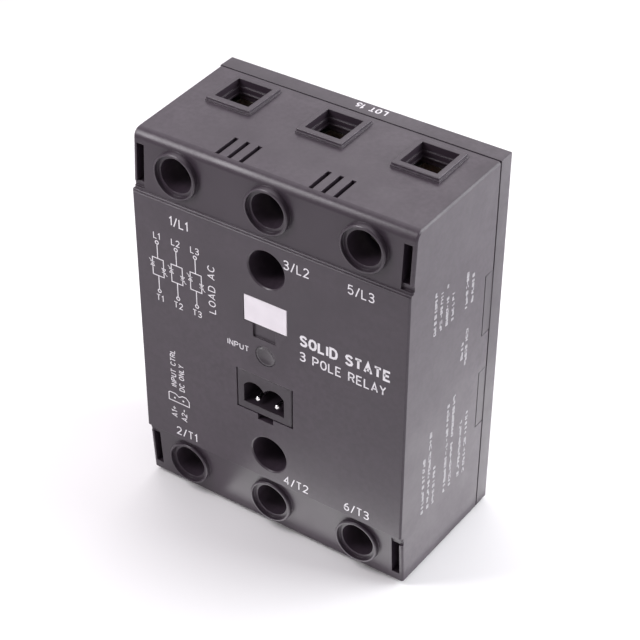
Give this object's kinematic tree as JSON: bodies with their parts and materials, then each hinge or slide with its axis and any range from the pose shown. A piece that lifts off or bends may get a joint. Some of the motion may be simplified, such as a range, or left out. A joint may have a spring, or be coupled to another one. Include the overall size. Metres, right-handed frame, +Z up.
{
  "type": "solid state relay",
  "caption": "Three-phase panel-mount solid state relay in a black box housing, with cage-clamp wire ports at top and bottom and a plug-in input socket.",
  "frame": {"origin": "centre of the rear mounting face, midway between the two mounting holes", "axes": "+X to the right and +Z up as seen from the front, with the line terminals at the top; the label panel faces -Y and the mounting face faces +Y"},
  "size_m": [0.0762, 0.0402, 0.1028],
  "materials": {
    "housing": "fine-grain moulded glass-filled polyester",
    "frame": "fine-grain moulded glass-filled polyester",
    "plate": "brushed, lapped mounting face",
    "seal": "soft silicone",
    "header": "fine-grain moulded polyamide",
    "tag": "white satin snap-in tag",
    "lens": "grey translucent",
    "led": "clear green epoxy",
    "pin": "bright tin plate",
    "screw": "zinc-plated",
    "cage": "zinc-plated",
    "copper": "bare copper",
    "tin": "tinned copper",
    "ceramic": "white alumina",
    "silicon": "passivated silicon",
    "board": "green solder mask",
    "component": "black moulding compound",
    "capacitor": "yellow film capacitor box",
    "varistor": "blue epoxy coating",
    "resistor": "grey-blue lacquer"
  },
  "bodies": {
    "root": {"base_plate": "plate", "base_seal": "seal", "base_frame": "frame", "housing": "housing", "marker_tag": "tag", "led_lens": "lens", "status_led": "led", "input_header": "header", "input_pins": "pin", "control_board": "board", "board_screws": "screw", "snubber_resistors": "resistor", "current_regulator": "component", "terminal_bar_l1": "copper", "terminal_bar_t1": "copper", "substrate_1": "ceramic", "copper_tracks_1": "copper", "thyristor_forward_1": "silicon", "thyristor_reverse_1": "silicon", "jumper_clips_1": "tin", "gate_pins_1": "pin", "opto_driver_1": "component", "snubber_capacitor_1": "capacitor", "varistor_1": "varistor", "terminal_bar_l2": "copper", "terminal_bar_t2": "copper", "substrate_2": "ceramic", "copper_tracks_2": "copper", "thyristor_forward_2": "silicon", "thyristor_reverse_2": "silicon", "jumper_clips_2": "tin", "gate_pins_2": "pin", "opto_driver_2": "component", "snubber_capacitor_2": "capacitor", "varistor_2": "varistor", "terminal_bar_l3": "copper", "terminal_bar_t3": "copper", "substrate_3": "ceramic", "copper_tracks_3": "copper", "thyristor_forward_3": "silicon", "thyristor_reverse_3": "silicon", "jumper_clips_3": "tin", "gate_pins_3": "pin", "opto_driver_3": "component", "snubber_capacitor_3": "capacitor", "varistor_3": "varistor"},
    "screw_l1": {"terminal_screw_l1": "screw"},
    "cage_l1": {"clamp_cage_l1": "cage"},
    "screw_t1": {"terminal_screw_t1": "screw"},
    "cage_t1": {"clamp_cage_t1": "cage"},
    "screw_l2": {"terminal_screw_l2": "screw"},
    "cage_l2": {"clamp_cage_l2": "cage"},
    "screw_t2": {"terminal_screw_t2": "screw"},
    "cage_t2": {"clamp_cage_t2": "cage"},
    "screw_l3": {"terminal_screw_l3": "screw"},
    "cage_l3": {"clamp_cage_l3": "cage"},
    "screw_t3": {"terminal_screw_t3": "screw"},
    "cage_t3": {"clamp_cage_t3": "cage"}
  },
  "joints": [
    {"name": "screw_turn_l1", "type": "hinge", "parent": "root", "child": "screw_l1", "pos_m": [-0.025, -0.0302, 0.0422], "axis": [0, 1, 0], "range_deg": [0, 3240]},
    {"name": "cage_lift_l1", "type": "slide", "parent": "root", "child": "cage_l1", "axis": [0, -1, 0], "range_m": [0, 0.0063]},
    {"name": "screw_turn_t1", "type": "hinge", "parent": "root", "child": "screw_t1", "pos_m": [-0.025, -0.0302, -0.0422], "axis": [0, 1, 0], "range_deg": [0, 3240]},
    {"name": "cage_lift_t1", "type": "slide", "parent": "root", "child": "cage_t1", "axis": [0, -1, 0], "range_m": [0, 0.0063]},
    {"name": "screw_turn_l2", "type": "hinge", "parent": "root", "child": "screw_l2", "pos_m": [0, -0.0302, 0.0422], "axis": [0, 1, 0], "range_deg": [0, 3240]},
    {"name": "cage_lift_l2", "type": "slide", "parent": "root", "child": "cage_l2", "axis": [0, -1, 0], "range_m": [0, 0.0063]},
    {"name": "screw_turn_t2", "type": "hinge", "parent": "root", "child": "screw_t2", "pos_m": [0, -0.0302, -0.0422], "axis": [0, 1, 0], "range_deg": [0, 3240]},
    {"name": "cage_lift_t2", "type": "slide", "parent": "root", "child": "cage_t2", "axis": [0, -1, 0], "range_m": [0, 0.0063]},
    {"name": "screw_turn_l3", "type": "hinge", "parent": "root", "child": "screw_l3", "pos_m": [0.025, -0.0302, 0.0422], "axis": [0, 1, 0], "range_deg": [0, 3240]},
    {"name": "cage_lift_l3", "type": "slide", "parent": "root", "child": "cage_l3", "axis": [0, -1, 0], "range_m": [0, 0.0063]},
    {"name": "screw_turn_t3", "type": "hinge", "parent": "root", "child": "screw_t3", "pos_m": [0.025, -0.0302, -0.0422], "axis": [0, 1, 0], "range_deg": [0, 3240]},
    {"name": "cage_lift_t3", "type": "slide", "parent": "root", "child": "cage_t3", "axis": [0, -1, 0], "range_m": [0, 0.0063]}
  ],
  "couplings": [
    {"joint": "screw_turn_l1", "follows": "cage_lift_l1", "rad_per_m": 8976},
    {"joint": "screw_turn_t1", "follows": "cage_lift_t1", "rad_per_m": 8976},
    {"joint": "screw_turn_l2", "follows": "cage_lift_l2", "rad_per_m": 8976},
    {"joint": "screw_turn_t2", "follows": "cage_lift_t2", "rad_per_m": 8976},
    {"joint": "screw_turn_l3", "follows": "cage_lift_l3", "rad_per_m": 8976},
    {"joint": "screw_turn_t3", "follows": "cage_lift_t3", "rad_per_m": 8976}
  ]
}
